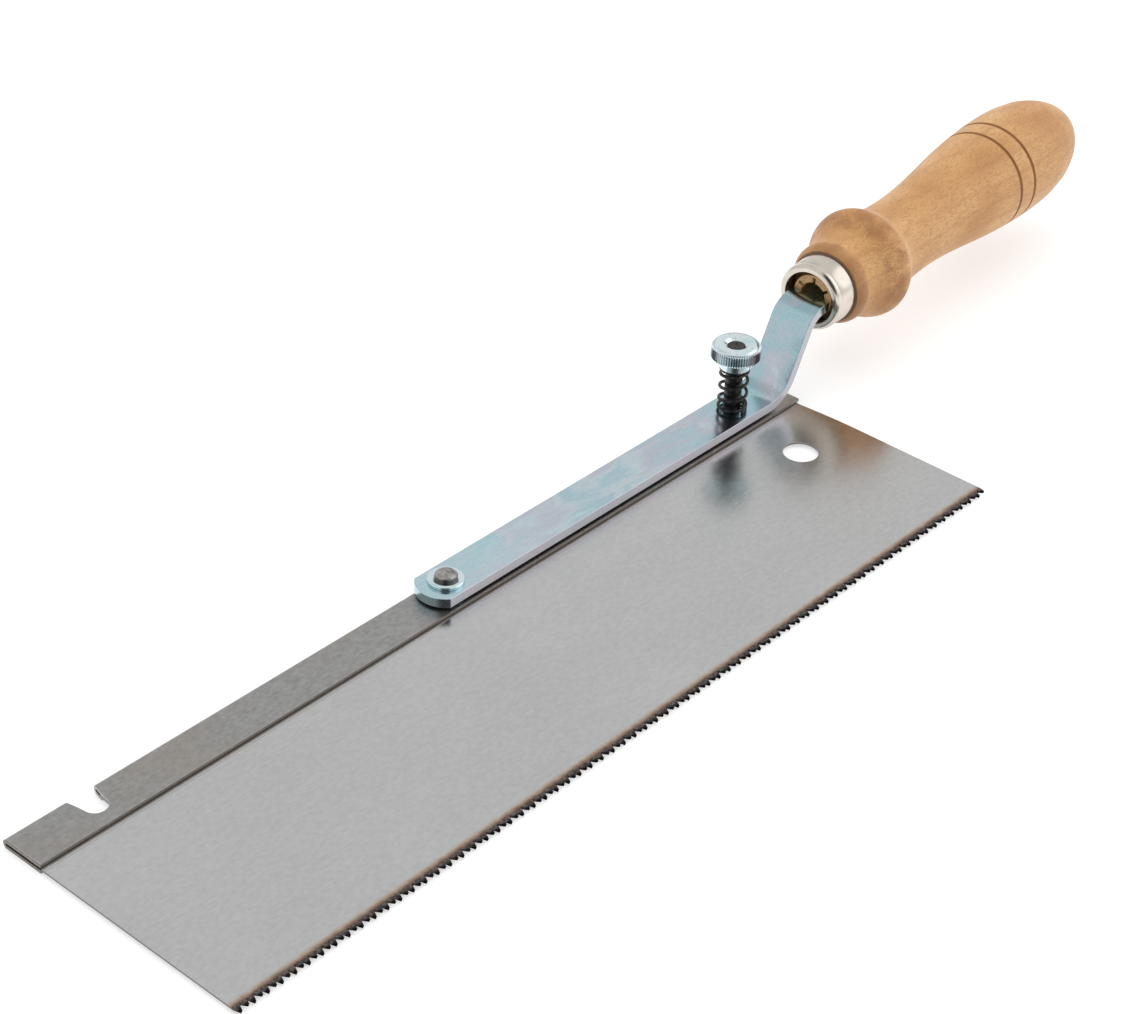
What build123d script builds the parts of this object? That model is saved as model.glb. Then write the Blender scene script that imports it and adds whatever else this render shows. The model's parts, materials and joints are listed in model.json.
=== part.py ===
from build123d import *
import math
import os

os.makedirs("parts", exist_ok=True)

# A back saw whose cranked handle swings end for end about a pivot.
# X runs along the blade towards the handle, Y from the teeth towards the back,
# and Z away from the blade on the handle's side. The origin is on the pivot's
# axis, level with the underside of the folded back. All sizes are millimetres.

# Blade
blade_length = 250.0
blade_thickness = 0.6
saw_depth = 70.7  # from the outside of the folded back to the tooth tips
tooth_count = 138  # a pitch of 1.81, or 14 to the inch
tooth_height = 1.7
hang_hole_radius = 4.5
hang_hole_x = 106.3
hang_hole_y = -21.7
end_relief = 1.0  # the end by the hanging hole is set back this far inside the folded back
end_relief_y = -24.0  # and comes out to its full length here

# Folded back
spine_width = 12.0
spine_outer_y = 5.4
sheet_thickness = 0.85
fold_hollow = 2.9  # from the blade's back edge to the outside of the fold

# Lock notches, one for each way round of the handle
lock_reach = 105.0  # from the pivot to each notch
notch_radius = 2.9
notch_neck_width = 6.5
notch_neck_y = 2.3
notch_mouth_width = 8.0
seat_radius = 4.0  # round seat in the lower sheet for the pin's foot

# Pivot
rivet_radius = 2.75
rivet_top_z = 7.9
rivet_top_chamfer = 0.7
rivet_crown = 0.15  # rise of the domed end inside its chamfer
rivet_head_radius = 4.2  # countersunk flush into the lower sheet
spacer_radius = 5.0
spacer_thickness = 0.55
washer_radius = 4.4
washer_thickness = 1.0
washer_chamfer = 0.15
running_gap = 0.03  # between faces that slide on each other
hole_clearance = 0.05  # on the radius of a turning or sliding fit

# Cranked arm
arm_width = 11.8
arm_thickness = 2.5
arm_end_radius = 7.4
crank_start_x = 119.5  # centre line corner at the foot of the crank
crank_end_x = 129.8  # centre line corner at the top of the crank
crank_rise = 21.0
foot_bend_radius = 9.5  # on the centre line
top_bend_radius = 7.0  # on the centre line
tang_shoulder_x = 135.4
tang_root_width = 5.6
tang_tip_width = 2.4
tang_tip_x = 172.0

# Lock button and spring
pin_radius = 2.25
pin_top_z = 24.3
pin_chamfer = 0.25
foot_radius = 3.9
foot_bottom_z = 0.05
foot_top_z = 0.8
knob_radius = 6.4
knob_bottom_z = 21.0
knob_top_z = 24.6
knob_top_chamfer = 1.0
knob_foot_chamfer = 0.35
knob_sink_radius = 3.1
knob_sink_depth = 0.6
collar_radius = 4.05
collar_bottom_z = 18.0
spring_outer_radius = 3.92
spring_wire_radius = 0.42
spring_turns = 5.0

# Handle: distances u run along the handle's axis from the front of the ferrule
handle_front_x = 134.4
handle_axis_z = 25.7
handle_skew = 4.4  # degrees that the handle leans towards the saw's back
ferrule_length = 7.5
ferrule_rear_radius = 9.3
ferrule_step_radius = 9.1
ferrule_wall = 0.6
lip_length = 1.8
lip_radius = 8.75
lip_opening_radius = 7.1
lip_groove_radius = 8.5
lip_groove_width = 0.35
lip_round = 0.75
tenon_front_u = 1.85
spigot_radius = 5.7  # reduced end of the tenon, clear of the ferrule
spigot_end_u = 6.4
handle_end_u = 131.1
shoulder_radius = 9.6
handle_outline = (  # (u, radius) behind the shoulder, through the nose, bead, waist and belly
    (9.6, 10.9),
    (10.8, 11.15),
    (13.2, 10.85),
    (17.5, 12.0),
    (20.0, 13.4),
    (22.5, 14.6),
    (25.0, 15.0),
    (27.2, 14.3),
    (28.9, 13.1),
    (31.0, 12.15),
    (36.0, 11.3),
    (46.0, 10.95),
    (56.0, 11.4),
    (66.0, 12.45),
    (76.0, 13.65),
    (86.0, 14.5),
    (97.0, 14.9),
    (106.0, 14.65),
)
butt_u = 114.0  # where the belly turns into the rounded butt
butt_radius = 13.5
butt_slope = 0.26
butt_shoulder = 8.0
butt_roundness = 7.5
groove_rings = ((85.0, 14.45), (91.8, 14.8))  # (u, radius) of each burnt groove
groove_section_radius = 0.55
bore_radius = 3.6
bore_depth = 14.0
slot_count = 6
slot_width = 0.9
slot_reach = 5.1
slot_depth = 3.0

# Heights that follow from the sizes above
spine_thickness = 2 * sheet_thickness + blade_thickness
blade_back_y = spine_outer_y - fold_hollow
tooth_tip_y = spine_outer_y - saw_depth
spine_inner_y = spine_outer_y - spine_width
arm_bottom_z = spine_thickness + spacer_thickness + running_gap
arm_top_z = arm_bottom_z + arm_thickness
washer_bottom_z = arm_top_z + running_gap
half_length = blade_length / 2
tooth_pitch = blade_length / tooth_count


def save(shape, name):
    """Write one piece to its own file, labelled with its name."""
    shape.label = name
    export_step(shape, f"parts/{name}.step")


def block(x_span, y_span, z_span):
    """A box between two corners, given as (low, high) along each axis."""
    size = [high - low for low, high in (x_span, y_span, z_span)]
    middle = [(high + low) / 2 for low, high in (x_span, y_span, z_span)]
    return Pos(*middle) * Box(*size)


def rod(radius, z_low, z_high, x=0.0, y=0.0):
    """An upright cylinder from z_low to z_high."""
    height = z_high - z_low
    return Pos(x, y, z_low + height / 2) * Cylinder(radius, height)


def turned_upright(points, x=0.0):
    """A solid turned about an upright axis, from (radius, height) points."""
    outline = Plane.XZ * make_face(Polyline(*points, close=True))
    return Pos(x, 0, 0) * revolve(outline, Axis.Z)


def on_handle(shape):
    """Move a shape from the handle's own axis (+X from its front) to its place."""
    return Pos(handle_front_x, 0, handle_axis_z) * Rot(0, 0, handle_skew) * shape


def notch_face(x):
    """Outline of a lock notch: a round bottom and walls that flare to the mouth."""
    overshoot = 1.0
    neck = notch_neck_width / 2
    mouth = notch_mouth_width / 2
    walls = make_face(
        Polyline(
            (x - notch_radius, 0),
            (x + notch_radius, 0),
            (x + neck, notch_neck_y),
            (x + mouth, spine_outer_y),
            (x + mouth, spine_outer_y + overshoot),
            (x - mouth, spine_outer_y + overshoot),
            (x - mouth, spine_outer_y),
            (x - neck, notch_neck_y),
            close=True,
        )
    )
    return walls + Pos(x, 0) * Circle(notch_radius)


def relieved_end():
    """The curved edge by the hanging hole, from the blade's full length up to the folded back."""
    middle_y = (spine_inner_y + end_relief_y) / 2
    return Spline(
        (half_length, end_relief_y),
        (half_length - 0.35 * end_relief, middle_y),
        (half_length - end_relief, spine_inner_y),
    )


def make_blade():
    gullet_y = tooth_tip_y + tooth_height
    hidden_end = half_length - end_relief
    outline = [(-half_length, gullet_y)]
    for tooth in range(tooth_count):
        left = -half_length + tooth * tooth_pitch
        outline.append((left + tooth_pitch / 2, tooth_tip_y))
        outline.append((left + tooth_pitch, gullet_y))
    outline.append((half_length, end_relief_y))
    back = Polyline(
        (hidden_end, spine_inner_y),
        (hidden_end, blade_back_y),
        (-half_length, blade_back_y),
        (-half_length, gullet_y),
    )
    face = make_face(Polyline(*outline) + relieved_end() + back)
    face -= Pos(hang_hole_x, hang_hole_y) * Circle(hang_hole_radius)
    face -= Circle(rivet_radius)
    for x in (-lock_reach, lock_reach):
        face -= notch_face(x)
    return Pos(0, 0, sheet_thickness) * extrude(face, blade_thickness)


def make_spine():
    fold_radius = spine_thickness / 2
    gap_radius = blade_thickness / 2
    fold_y = spine_outer_y - fold_radius
    low = sheet_thickness
    high = sheet_thickness + blade_thickness
    outside = Line((spine_inner_y, 0), (fold_y, 0))
    outside += RadiusArc((fold_y, 0), (fold_y, spine_thickness), -fold_radius)
    outside += Polyline(
        (fold_y, spine_thickness),
        (spine_inner_y, spine_thickness),
        (spine_inner_y, high),
        (fold_y, high),
    )
    outside += RadiusArc((fold_y, high), (fold_y, low), gap_radius)
    outside += Polyline((fold_y, low), (spine_inner_y, low), (spine_inner_y, 0))
    section = Plane.YZ.offset(-half_length) * make_face(outside)
    spine = extrude(section, blade_length)
    spine -= rod(rivet_radius, 0, spine_thickness)
    spine -= turned_upright(
        [(0, 0), (rivet_head_radius, 0), (rivet_radius, sheet_thickness), (0, sheet_thickness)]
    )
    for x in (-lock_reach, lock_reach):
        spine -= extrude(notch_face(x), spine_thickness)
        spine -= rod(seat_radius, 0, sheet_thickness, x)
    return spine


def make_pivot_rivet():
    flat_radius = rivet_radius - rivet_top_chamfer
    return turned_upright(
        [
            (0, 0),
            (rivet_head_radius, 0),
            (rivet_radius, sheet_thickness),
            (rivet_radius, rivet_top_z - rivet_top_chamfer),
            (flat_radius, rivet_top_z - rivet_crown),
            (0, rivet_top_z),
        ]
    )


def make_ring(outer_radius, z_low, z_high, edge=0.0):
    """A washer that fits tight on the pivot rivet."""
    ring = rod(outer_radius, z_low, z_high)
    if edge:
        ring = chamfer(ring.edges(), edge)
    return ring - rod(rivet_radius, z_low, z_high)


def make_handle_arm():
    low = arm_bottom_z + arm_thickness / 2
    high = low + crank_rise
    slope = math.atan2(crank_rise, crank_end_x - crank_start_x)
    shift = arm_thickness / 2 * math.tan(slope / 2)
    half = arm_thickness / 2
    top = FilletPolyline(
        (-arm_end_radius, low + half),
        (crank_start_x - shift, low + half),
        (crank_end_x - shift, high + half),
        (tang_tip_x, high + half),
        radius=[foot_bend_radius - half, top_bend_radius + half],
    )
    bottom = FilletPolyline(
        (-arm_end_radius, low - half),
        (crank_start_x + shift, low - half),
        (crank_end_x + shift, high - half),
        (tang_tip_x, high - half),
        radius=[foot_bend_radius + half, top_bend_radius - half],
    )
    ends = Line(top @ 0, bottom @ 0) + Line(top @ 1, bottom @ 1)
    side = Plane.XZ * make_face(top + bottom + ends)
    strip = extrude(side, arm_width / 2, both=True)
    plan_half = arm_width / 2
    root_half = tang_root_width / 2
    tip_half = tang_tip_width / 2
    body = make_face(
        Polyline(
            (0, -plan_half),
            (tang_shoulder_x, -plan_half),
            (tang_shoulder_x, -root_half),
            (tang_tip_x, -tip_half),
            (tang_tip_x, tip_half),
            (tang_shoulder_x, root_half),
            (tang_shoulder_x, plan_half),
            (0, plan_half),
            close=True,
        )
    )
    end = Circle(arm_end_radius) & Rectangle(4 * arm_end_radius, arm_width)
    arm = strip & extrude(body + end, handle_axis_z * 2)
    arm -= rod(rivet_radius + hole_clearance, 0, arm_top_z + 1)
    arm -= rod(pin_radius + hole_clearance, 0, arm_top_z + 1, lock_reach)
    return arm


def make_lock_pin():
    return turned_upright(
        [
            (0, foot_bottom_z),
            (foot_radius, foot_bottom_z),
            (foot_radius, foot_top_z),
            (pin_radius, foot_top_z),
            (pin_radius, pin_top_z - pin_chamfer),
            (pin_radius - pin_chamfer, pin_top_z),
            (0, pin_top_z),
        ],
        lock_reach,
    )


def make_lock_knob():
    return turned_upright(
        [
            (pin_radius, collar_bottom_z),
            (collar_radius, collar_bottom_z),
            (collar_radius, knob_bottom_z),
            (knob_radius - knob_foot_chamfer, knob_bottom_z),
            (knob_radius, knob_bottom_z + knob_foot_chamfer),
            (knob_radius, knob_top_z - knob_top_chamfer),
            (knob_radius - knob_top_chamfer, knob_top_z),
            (knob_sink_radius, knob_top_z),
            (pin_radius, knob_top_z - knob_sink_depth),
        ],
        lock_reach,
    )


def make_lock_spring():
    height = collar_bottom_z - arm_top_z - 2 * spring_wire_radius
    coil_radius = spring_outer_radius - spring_wire_radius
    path = Helix(height / spring_turns, height, coil_radius)
    wire = sweep(Plane(path @ 0, z_dir=path % 0) * Circle(spring_wire_radius), path, is_frenet=True)
    return Pos(lock_reach, 0, arm_top_z + spring_wire_radius) * wire


def make_ferrule():
    groove_end = lip_length + lip_groove_width
    inner_radius = ferrule_rear_radius - ferrule_wall
    section = make_face(
        Polyline(
            (0, lip_opening_radius),
            (0, lip_radius),
            (lip_length, lip_radius),
            (lip_length, lip_groove_radius),
            (groove_end, lip_groove_radius),
            (groove_end, ferrule_step_radius),
            (ferrule_length, ferrule_rear_radius),
            (ferrule_length, inner_radius),
            (groove_end, inner_radius - ferrule_wall / 2),
            (lip_length, inner_radius - ferrule_wall / 2),
            (lip_length, lip_opening_radius),
            close=True,
        )
    )
    front = section.vertices().filter_by_position(Axis.X, -0.01, 0.01)
    section = fillet(front, lip_round)
    return on_handle(revolve(section, Axis.X))


def make_wooden_handle(arm):
    inner_radius = ferrule_rear_radius - ferrule_wall
    front_radius = inner_radius - ferrule_wall / 2
    groove_end = lip_length + lip_groove_width
    taper = (inner_radius - front_radius) / (ferrule_length - groove_end)
    spigot_end_radius = front_radius + (spigot_end_u - groove_end) * taper
    tenon_end = ferrule_length + 0.05
    tenon = Polyline(
        (handle_end_u, 0),
        (tenon_front_u, 0),
        (tenon_front_u, spigot_radius),
        (spigot_end_u, spigot_radius),
        (spigot_end_u, spigot_end_radius),
        (ferrule_length, inner_radius),
        (tenon_end, inner_radius),
        (tenon_end, shoulder_radius),
    )
    outline = Spline((tenon_end, shoulder_radius), *handle_outline, (butt_u, butt_radius))
    butt = Bezier(
        (butt_u, butt_radius),
        (butt_u + butt_shoulder, butt_radius - butt_slope * butt_shoulder),
        (handle_end_u, butt_roundness),
        (handle_end_u, 0),
    )
    wood = revolve(make_face(tenon + outline + butt), Axis.X)
    bore = Rot(0, 90, 0) * Cylinder(bore_radius, bore_depth)
    wood -= Pos(tenon_front_u + bore_depth / 2, 0, 0) * bore
    slot = block(
        (tenon_front_u, tenon_front_u + slot_depth),
        (0, slot_reach),
        (-slot_width / 2, slot_width / 2),
    )
    for count in range(slot_count):
        wood -= Rot(30 + count * 360 / slot_count, 0, 0) * slot
    for u, radius in groove_rings:
        wood -= revolve(Pos(u, radius) * Circle(groove_section_radius), Axis.X)
    return on_handle(wood) - arm


blade = make_blade()
spine = make_spine()
rivet = make_pivot_rivet()
spacer = make_ring(spacer_radius, spine_thickness, spine_thickness + spacer_thickness)
washer = make_ring(washer_radius, washer_bottom_z, washer_bottom_z + washer_thickness, washer_chamfer)
arm = make_handle_arm()

save(blade, "blade")
save(spine, "folded_back")
save(rivet, "pivot_rivet")
save(spacer, "pivot_spacer")
save(washer, "pivot_washer")
save(arm, "handle_arm")
save(make_lock_pin(), "lock_pin")
save(make_lock_knob(), "lock_knob")
save(make_lock_spring(), "lock_spring")
save(make_ferrule(), "ferrule")
save(make_wooden_handle(arm), "wooden_handle")
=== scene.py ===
import json
import math

import bmesh
import bpy
from mathutils import Matrix, Vector


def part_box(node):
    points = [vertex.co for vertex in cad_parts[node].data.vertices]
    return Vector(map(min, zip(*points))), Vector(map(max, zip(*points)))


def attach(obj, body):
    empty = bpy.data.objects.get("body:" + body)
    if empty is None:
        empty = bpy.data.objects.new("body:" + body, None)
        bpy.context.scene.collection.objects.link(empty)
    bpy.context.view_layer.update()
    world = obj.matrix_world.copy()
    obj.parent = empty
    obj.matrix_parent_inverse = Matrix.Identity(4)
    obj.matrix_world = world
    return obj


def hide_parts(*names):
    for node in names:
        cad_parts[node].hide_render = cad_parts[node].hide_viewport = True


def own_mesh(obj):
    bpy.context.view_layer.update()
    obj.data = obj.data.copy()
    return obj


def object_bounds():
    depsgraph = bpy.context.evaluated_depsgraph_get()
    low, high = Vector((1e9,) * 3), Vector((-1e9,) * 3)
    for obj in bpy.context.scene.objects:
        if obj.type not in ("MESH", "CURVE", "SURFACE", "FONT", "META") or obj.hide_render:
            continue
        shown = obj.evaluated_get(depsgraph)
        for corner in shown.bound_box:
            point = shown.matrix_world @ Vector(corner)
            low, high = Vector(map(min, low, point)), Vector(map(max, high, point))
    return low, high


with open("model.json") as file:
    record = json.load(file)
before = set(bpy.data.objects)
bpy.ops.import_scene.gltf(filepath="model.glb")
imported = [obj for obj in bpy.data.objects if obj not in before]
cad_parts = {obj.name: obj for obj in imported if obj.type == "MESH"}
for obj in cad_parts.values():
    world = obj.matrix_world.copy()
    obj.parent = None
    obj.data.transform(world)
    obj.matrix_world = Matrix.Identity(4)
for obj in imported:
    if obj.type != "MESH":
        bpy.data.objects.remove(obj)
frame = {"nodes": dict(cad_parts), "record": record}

cad_low, cad_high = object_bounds()

MM = 0.001
record_joints = {joint["name"]: joint for joint in frame["record"]["behaviour"]["joints"]}


# ---- places, mostly taken from the imported frame -----------------------------

blade_low, blade_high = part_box("blade")
spine_low, spine_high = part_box("folded_back")
_, arm_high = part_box("handle_arm")
knob_low, knob_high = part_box("lock_knob")
pin_low, pin_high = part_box("lock_pin")
_, spring_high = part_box("lock_spring")
_, rivet_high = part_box("pivot_rivet")
washer_low, washer_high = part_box("pivot_washer")
spacer_low, spacer_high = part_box("pivot_spacer")
lock_x = (knob_low.x + knob_high.x) / 2
running_gap = 0.03 * MM
arm_top = washer_low.z - running_gap
hang_hole = next(mount for mount in frame["record"]["mounts"] if mount["name"] == "hang_hole")
hole_x, hole_y, _ = hang_hole["pos_m"]
hole_radius = hang_hole["dims"]["r_mm"] * MM

# The handle's own axis: distances along it start at the ferrule's front edge.
handle_front = Vector((134.4, 0, 25.7)) * MM
handle_skew = math.radians(4.4)
on_handle = Matrix.Translation(handle_front) @ Matrix.Rotation(handle_skew, 4, "Z")


# ---- node trees --------------------------------------------------------------

class Socket:
    """A node's output. An expression on sockets and numbers adds its Math nodes."""

    def __init__(self, tree, output):
        self.tree = tree
        self.output = output

    def math(self, operation, *values):
        return add_node(self.tree, "ShaderNodeMath", {"operation": operation}, dict(enumerate(values)))

    def __add__(self, other):
        return self.math("ADD", self, other)

    def __sub__(self, other):
        return self.math("SUBTRACT", self, other)

    def __rsub__(self, other):
        return self.math("SUBTRACT", other, self)

    def __mul__(self, other):
        return self.math("MULTIPLY", self, other)

    def __truediv__(self, other):
        return self.math("DIVIDE", self, other)

    __radd__ = __add__
    __rmul__ = __mul__


def add_node(tree, kind, settings=None, inputs=None, output=0):
    """Adds one node, sets it up, then fills its sockets, and returns one of its outputs."""
    node = tree.nodes.new(kind)
    for name, value in (settings or {}).items():
        if name == "stops":
            set_stops(node.color_ramp.elements, value)
        else:
            setattr(node, name, value)
    for name, value in (inputs or {}).items():
        if isinstance(value, Socket):
            tree.links.new(value.output, node.inputs[name])
        else:
            node.inputs[name].default_value = value
    return Socket(tree, node.outputs[output]) if node.outputs else node


def set_stops(elements, stops):
    while len(elements) < len(stops):
        elements.new(1.0)
    for element, (place, colour) in zip(elements, stops):
        element.position = place
        element.color = (*colour, 1.0)


class Finish:
    """One material: its shader, with constant values on its own sockets, and its patterns."""

    def __init__(self, name, **constants):
        self.material = bpy.data.materials.new(name)
        self.material.use_nodes = True
        self.tree = self.material.node_tree
        self.tree.nodes.clear()
        self.shader = self.tree.nodes.new("ShaderNodeBsdfPrincipled")
        surface = self.tree.nodes.new("ShaderNodeOutputMaterial")
        self.tree.links.new(self.shader.outputs[0], surface.inputs[0])
        for socket, value in constants.items():
            self.shader.inputs[socket.replace("_", " ")].default_value = value
        self.place = self.node("ShaderNodeTexCoord", output="Object")

    def node(self, kind, settings=None, inputs=None, output=0):
        return add_node(self.tree, kind, settings, inputs, output)

    def turned_place(self, angle, centre):
        """Coordinates from a centre, turned back about Z so that they follow a skewed piece."""
        return self.node("ShaderNodeMapping", {"vector_type": "TEXTURE"},
                         {"Vector": self.place, "Location": centre, "Rotation": (0, 0, angle)})

    def axis(self, name, place=None):
        """One coordinate in millimetres."""
        return self.node("ShaderNodeSeparateXYZ", None, {0: place or self.place}, name) * (1 / MM)

    def noise(self, size, stretch=(1, 1, 1), detail=3.0, place=None, roughness=0.5, distortion=0.0):
        """Noise whose features are about size millimetres, longer by stretch along each axis."""
        scale = tuple(1 / (size * MM * along) for along in stretch)
        scaled = self.node("ShaderNodeVectorMath", {"operation": "MULTIPLY"},
                           {0: place or self.place, 1: scale})
        return self.node("ShaderNodeTexNoise", None,
                         {"Vector": scaled, "Scale": 1.0, "Detail": detail, "Roughness": roughness,
                          "Distortion": distortion})

    def ramp(self, value, *stops):
        """A colour for each value; stops are (value, colour)."""
        return self.node("ShaderNodeValToRGB", {"stops": stops}, {0: value})

    def band(self, value, low, high, soft):
        """1 between low and high, falling to 0 over soft on each side."""
        rise = self.fade(value, low - soft, low)
        fall = self.fade(value, high, high + soft)
        return rise * (1 - fall)

    def fade(self, value, start, end):
        """0 before start, 1 after end, smooth between."""
        return self.node("ShaderNodeMapRange", {"interpolation_type": "SMOOTHSTEP"},
                         {0: value, 1: start, 2: end})

    def mix(self, amount, first, second):
        """Colours mixed by amount."""
        return self.node("ShaderNodeMix", {"data_type": "RGBA"},
                         {0: amount, 6: colour(first), 7: colour(second)}, 2)

    def bump(self, height, distance):
        """A bump whose height of 1 stands for distance millimetres."""
        return self.node("ShaderNodeBump", None,
                         {"Strength": 1.0, "Distance": distance * MM, "Height": height})

    def feed(self, **sockets):
        for name, value in sockets.items():
            self.tree.links.new(value.output, self.shader.inputs[name.replace("_", " ")])
        return self.material


def colour(value):
    return value if isinstance(value, Socket) else (*value, 1.0)


# ---- finishes ----------------------------------------------------------------

def ground_steel():
    """Blade: satin steel, hardened blue-black at the teeth with a brown heat tint fading out above."""
    finish = Finish("ground_steel", Metallic=1.0)
    across = finish.axis("Y")
    tips = blade_low.y / MM + 0.3
    scratches = finish.noise(0.3, (30, 1, 1), 2.0)
    mottle = finish.noise(0.9, (1.6, 1, 1), 4.0)
    clouds = finish.noise(30, (1.8, 1, 1), 2.0)
    steel = finish.ramp(scratches * 0.2 + mottle * 0.5 + clouds * 0.3,
                        (0.3, (0.465, 0.463, 0.455)), (0.7, (0.575, 0.573, 0.567)))
    joint = spine_low.y / MM
    # Painted contact shade: a dark line on the blade where it meets the folded back, with a fainter dark line
    # a little below it.
    faint_dark_line = finish.band(across, joint - 1.35, joint - 1.2, 0.1) * 0.4
    spine_contact_shade = finish.band(across, joint - 0.3, joint, 0.12) + faint_dark_line
    edged = finish.mix(spine_contact_shade * 0.75, steel, (0.12, 0.10, 0.08))
    wander = finish.noise(1.6, (1.3, 1, 1), 4.0)
    height = across - tips - (wander - 0.5) * 1.2
    brown = finish.ramp((height - 1.0) / 2.2, (0.0, (0.10, 0.062, 0.045)), (0.30, (0.25, 0.165, 0.12)),
                        (0.62, (0.46, 0.365, 0.29)), (1.0, (0.54, 0.50, 0.45)))
    tinted = finish.mix(1 - finish.fade(height, 2.2, 3.4), edged, brown)
    root = 1 - finish.fade(across - tips - wander * 0.3, 0.85, 1.65)
    facet = finish.fade(finish.noise(0.55, (1, 1, 1), 2.0), 0.42, 0.6)
    hard = finish.mix(finish.fade(across - tips, 0.15, 1.1) * (0.35 + facet * 0.65), (0.012, 0.011, 0.012),
                      (0.17, 0.145, 0.135))
    filed = finish.mix(root, tinted, hard)
    up = finish.axis("Z")
    walls = finish.band(up, blade_low.z / MM + 0.07, blade_high.z / MM - 0.07, 0.02) * (1 - root)
    base = finish.mix(walls * 0.85, filed, (0.10, 0.085, 0.075))
    roughness = 0.16 + scratches * 0.06 + mottle * 0.06 + root * 0.08
    return finish.feed(Base_Color=base, Roughness=roughness,
                       Normal=finish.bump(scratches * 0.6 + mottle * 0.4, 0.0016))


def rolled_steel():
    """Folded back: darker sheet with faint brown stains, brown sheared edges and a bright line inside."""
    finish = Finish("rolled_steel", Metallic=1.0)
    along = finish.axis("X")
    across = finish.axis("Y")
    up = finish.axis("Z")
    lines = finish.noise(0.35, (22, 1, 1), 3.0)
    stains = finish.noise(14, (2.4, 1, 1), 4.0)
    spots = finish.noise(0.9, (1.5, 1, 1), 4.0)
    steel = finish.ramp(lines * 0.2 + spots * 0.8, (0.3, (0.275, 0.27, 0.26)), (0.7, (0.40, 0.395, 0.385)))
    stained = finish.mix(finish.fade(stains, 0.45, 0.75) * 0.5, steel, (0.36, 0.30, 0.25))
    inner = across - spine_low.y / MM
    end = spine_high.x / MM - along.math("ABSOLUTE", along)
    edge = inner.math("MINIMUM", inner, end)
    burr = finish.mix(finish.band(end, 0.12, 0.30, 0.12) * 0.45 + finish.band(inner, 0.25, 0.4, 0.12) * 0.12,
                      stained, (0.62, 0.60, 0.57))
    sheared = (1 - finish.fade(edge, 0.05, 0.22)) * finish.fade(spots, 0.2, 0.5)
    middle = finish.band(up, 1.75, 1.85, 0.12) * 0.35
    base = finish.mix(sheared * (0.85 - middle), burr, (0.17, 0.145, 0.125))
    roughness = 0.26 + lines * 0.1 + spots * 0.08
    return finish.feed(Base_Color=base, Roughness=roughness,
                       Normal=finish.bump(lines + spots, 0.006))


def zinc_plate(name, teal, blue, lilac, pale):
    """Zinc plate with the faint tints that it has from the bath, given as four colours."""
    finish = Finish(name, Metallic=1.0)
    along = finish.axis("X")
    blush = finish.band(along, 42, 84, 26) * 0.09 - finish.fade(along, 92, 116) * 0.06
    bath = finish.noise(7, (2.0, 1, 1), 3.0, distortion=0.8)
    drift = finish.noise(24, (1.5, 1, 1), 1.0)
    grain = finish.noise(0.45, (2.5, 1, 1), 4.0)
    streaks = finish.noise(0.35, (14, 1, 1), 3.0)
    tint = finish.ramp(bath * 0.55 + drift * 0.35 + 0.03 + blush, (0.36, teal), (0.46, blue), (0.55, lilac),
                       (0.63, pale), (0.70, blue))
    wear = finish.fade(streaks * 0.5 + grain * 0.5, 0.42, 0.62) * 0.3 + (1 - finish.fade(along, 14, 44)) * 0.3
    worn = finish.mix(wear, tint, (0.60, 0.74, 0.77))
    dull = finish.mix(finish.fade(grain, 0.56, 0.70) * 0.35, worn, tuple(0.55 * value for value in teal))
    side = along - lock_x / MM
    across = finish.axis("Y")
    radius = finish.node("ShaderNodeMath", {"operation": "SQRT"}, {0: side * side + across * across})
    rim = (knob_high.x - lock_x) / MM
    head = finish.band(finish.axis("Z"), knob_high.z / MM - 3.5, knob_high.z / MM - 0.9, 0.2)
    # Painted shade: the valleys of the knurl on the button's head are darkened.
    valley = finish.band(radius, rim - 0.7, rim - 0.45, 0.2) * head
    valley_shaded = finish.mix(valley * 0.5, dull, (0.16, 0.18, 0.185))
    flank = finish.band(across.math("ABSOLUTE", across), arm_high.y / MM - 0.06, 9.0, 0.02)
    base = finish.mix(flank * 0.75, valley_shaded, (0.47, 0.43, 0.46))
    roughness = 0.13 + grain * 0.1 + bath * 0.05
    return finish.feed(Base_Color=base, Roughness=roughness,
                       Normal=finish.bump(grain * 0.4 + streaks * 0.3 + bath, 0.008))


def nickel_plate():
    """Ferrule: warm bright nickel, a little uneven where the tube was drawn."""
    finish = Finish("nickel_plate", Metallic=1.0)
    ripple = finish.noise(4.5, (1, 1, 1), 2.0)
    scuffs = finish.noise(0.6, (5, 1, 1), 4.0)
    base = finish.ramp(ripple * 0.7 + scuffs * 0.3, (0.3, (0.60, 0.545, 0.475)), (0.7, (0.70, 0.64, 0.56)))
    roughness = 0.12 + scuffs * 0.2
    return finish.feed(Base_Color=base, Roughness=roughness, Normal=finish.bump(ripple + scuffs * 0.1, 0.03))


def black_oxide():
    """Spring and lock pin: oiled black finish, worn a little greyer in places."""
    finish = Finish("black_oxide", Metallic=0.75)
    wear = finish.noise(0.8, (1, 1, 3), 4.0)
    base = finish.ramp(wear, (0.4, (0.018, 0.017, 0.018)), (0.75, (0.085, 0.075, 0.07)))
    return finish.feed(Base_Color=base, Roughness=0.2 + wear * 0.2, Normal=finish.bump(wear, 0.01))


def dark_steel():
    """Pivot rivet: oiled steel with a peened crown, with painted shade down its sides."""
    finish = Finish("dark_steel", Metallic=1.0)
    up = finish.axis("Z")
    mottle = finish.noise(1.1, (1, 2, 1), 4.0)
    crown = finish.ramp(mottle, (0.3, (0.17, 0.155, 0.15)), (0.5, (0.34, 0.32, 0.31)),
                        (0.7, (0.50, 0.48, 0.47)))
    top = rivet_high.z / MM
    # Painted shade: the rivet is darkened down its sides below the crown.
    side = finish.mix(finish.fade(up, top - 0.9, top - 0.2), (0.12, 0.11, 0.105), crown)
    return finish.feed(Base_Color=side, Roughness=0.18 + mottle * 0.2, Normal=finish.bump(mottle, 0.05))


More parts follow.
